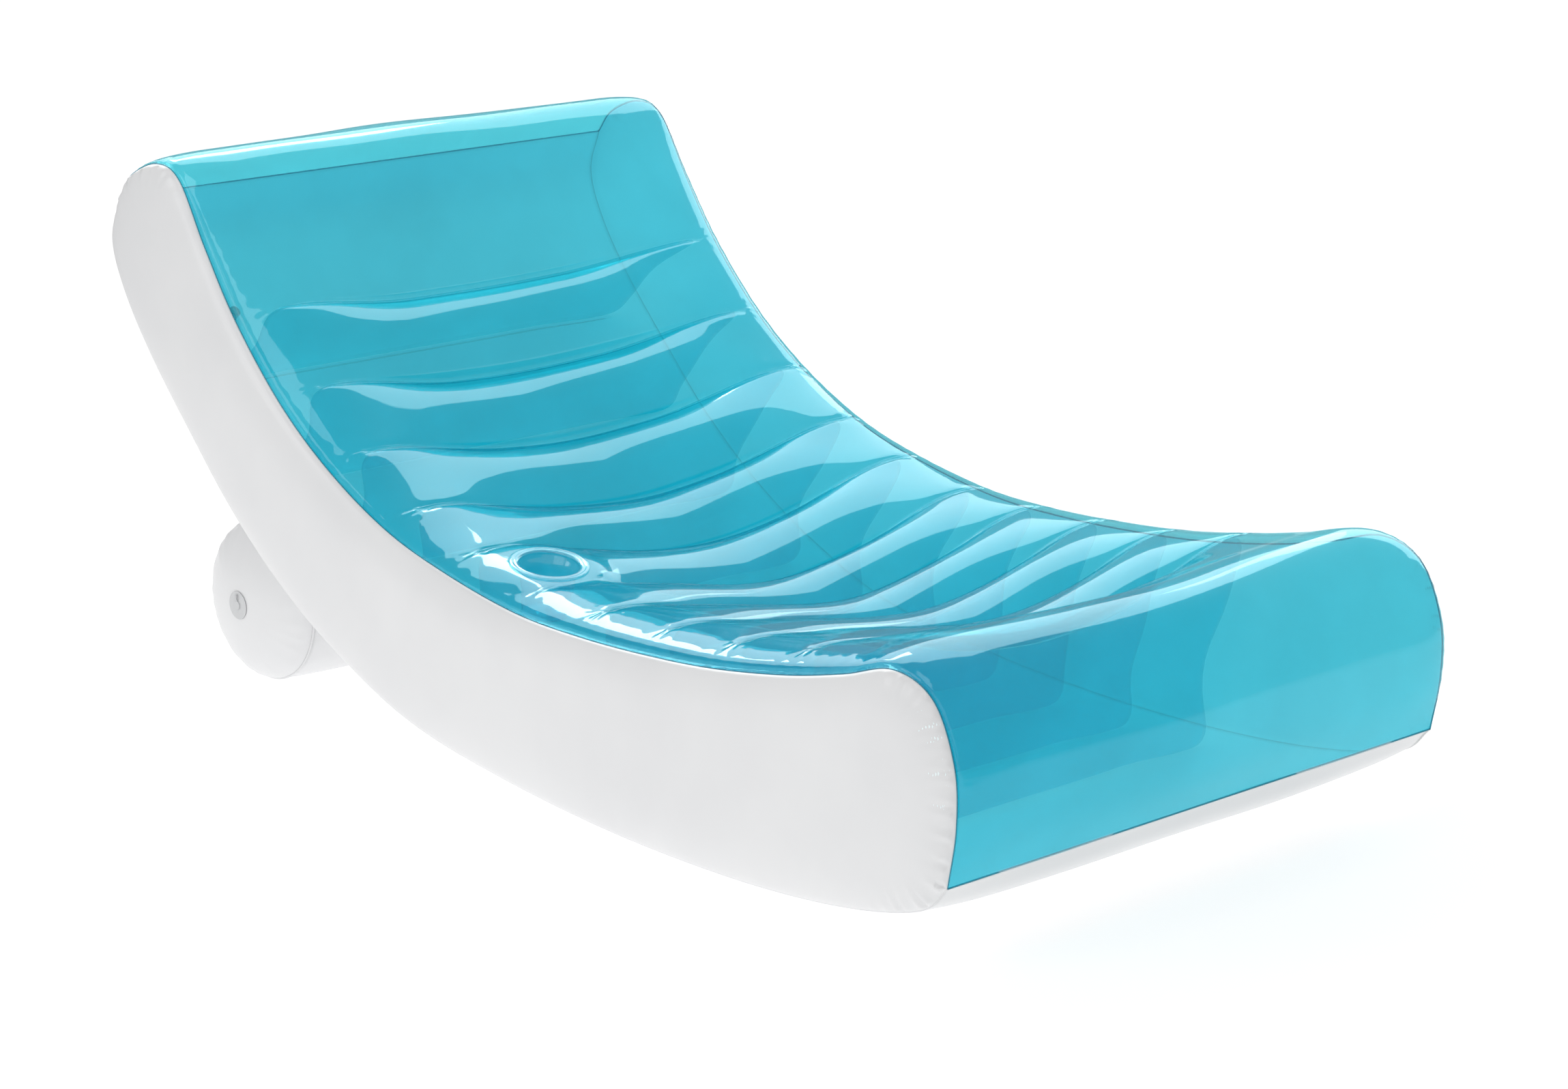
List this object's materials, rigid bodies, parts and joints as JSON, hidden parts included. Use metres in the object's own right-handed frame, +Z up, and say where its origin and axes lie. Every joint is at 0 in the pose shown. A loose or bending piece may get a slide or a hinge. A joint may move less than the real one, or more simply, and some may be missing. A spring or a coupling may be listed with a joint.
{
  "type": "inflatable pool lounge",
  "caption": "Inflatable rocking pool lounge with a clear ribbed top sheet, white sides and belly, a cup holder and a round support tube under the backrest.",
  "frame": {"origin": "on the ground, in the middle of the whole object's box", "axes": "+X across the lounge to the sitter's left, +Y towards the head, +Z up"},
  "size_m": [0.99, 1.8892, 0.8183],
  "materials": {
    "clear_teal_film": "clear teal vinyl film, glossy",
    "teal_baffle_film": "clear teal vinyl film inside, glossy",
    "white_film": "opaque white vinyl film, satin",
    "clear_cup_film": "clear pale blue vinyl, glossy",
    "valve_vinyl": "soft translucent pale grey vinyl, satin"
  },
  "bodies": {
    "root": {"top_sheet": "clear_teal_film", "bottom_sheet": "white_film", "side_panel_left": "white_film", "side_panel_right": "white_film", "baffle_01": "teal_baffle_film", "baffle_02": "teal_baffle_film", "baffle_03": "teal_baffle_film", "baffle_04": "teal_baffle_film", "baffle_05": "teal_baffle_film", "baffle_06": "teal_baffle_film", "baffle_07": "teal_baffle_film", "baffle_08": "teal_baffle_film", "baffle_09": "teal_baffle_film", "baffle_10": "teal_baffle_film", "cup_holder_sleeve": "clear_cup_film", "cup_holder_floor": "clear_cup_film", "tube_wall": "white_film", "tube_cap_left": "white_film", "tube_cap_right": "white_film", "tube_mount_patch": "white_film", "main_valve_base": "valve_vinyl", "tube_valve_base": "valve_vinyl"},
    "main_stem": {"main_valve_stem": "valve_vinyl"},
    "main_flap": {"main_valve_flap": "valve_vinyl"},
    "main_plug": {"main_valve_plug": "valve_vinyl", "main_valve_tether": "valve_vinyl"},
    "tube_stem": {"tube_valve_stem": "valve_vinyl"},
    "tube_flap": {"tube_valve_flap": "valve_vinyl"},
    "tube_plug": {"tube_valve_plug": "valve_vinyl", "tube_valve_tether": "valve_vinyl"}
  },
  "joints": [
    {"name": "main_stem_slide", "type": "slide", "parent": "root", "child": "main_stem", "axis": [0, 0.7986, -0.6019], "range_m": [0, 0.012]},
    {"name": "main_plug_pull", "type": "slide", "parent": "main_stem", "child": "main_plug", "axis": [0, 0.7986, -0.6019], "range_m": [0, 0.01]},
    {"name": "main_flap_hinge", "type": "hinge", "parent": "main_stem", "child": "main_flap", "pos_m": [-0.3, 0.87445, 0.53816], "axis": [1, 0, 0], "range_deg": [0, 50], "stiffness_Nm_per_rad": 0.0002},
    {"name": "tube_stem_slide", "type": "slide", "parent": "root", "child": "tube_stem", "axis": [-1, 0, 0], "range_m": [0, 0.012]},
    {"name": "tube_plug_pull", "type": "slide", "parent": "tube_stem", "child": "tube_plug", "axis": [-1, 0, 0], "range_m": [0, 0.01]},
    {"name": "tube_flap_hinge", "type": "hinge", "parent": "tube_stem", "child": "tube_flap", "pos_m": [-0.4282, 0.6898, 0.132], "axis": [0, 0, 1], "range_deg": [0, 50], "stiffness_Nm_per_rad": 0.0002}
  ]
}
